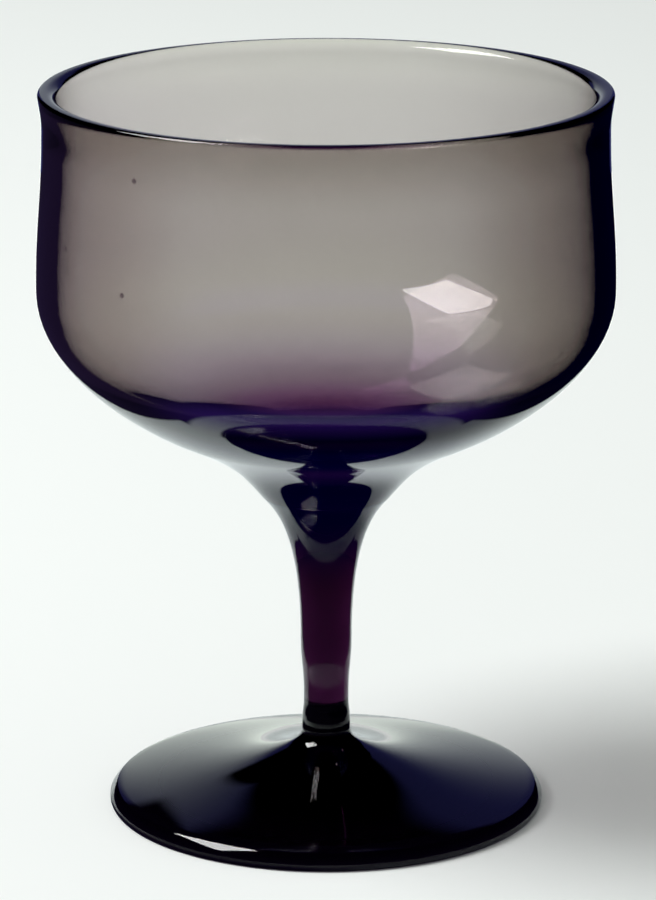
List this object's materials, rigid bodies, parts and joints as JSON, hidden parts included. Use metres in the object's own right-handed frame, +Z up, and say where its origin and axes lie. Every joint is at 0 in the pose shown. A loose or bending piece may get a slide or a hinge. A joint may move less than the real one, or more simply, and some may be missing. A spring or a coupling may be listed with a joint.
{
  "type": "sherbet glass",
  "caption": "Stemmed sherbet glass in dark amethyst glass: deep round bowl with a softly flared lip, plain drawn stem and a shallow conical foot.",
  "frame": {"origin": "centre of the flat ring that the foot stands on, on the glass's axis", "axes": "+Z up along the axis of the glass, from the foot to the lip; the glass is round about it, so +X and +Y are free"},
  "size_m": [0.0924, 0.0924, 0.118],
  "materials": {
    "bowl_glass": "fire-polished, transparent smoky amethyst, wall about 3 mm",
    "stem_glass": "fire-polished, the same glass in the thickness of the stem, nearly opaque",
    "foot_glass": "fire-polished, the same glass in the thickness of the foot, nearly black over a table"
  },
  "bodies": {
    "root": {"bowl": "bowl_glass", "stem": "stem_glass", "foot": "foot_glass"}
  },
  "joints": []
}
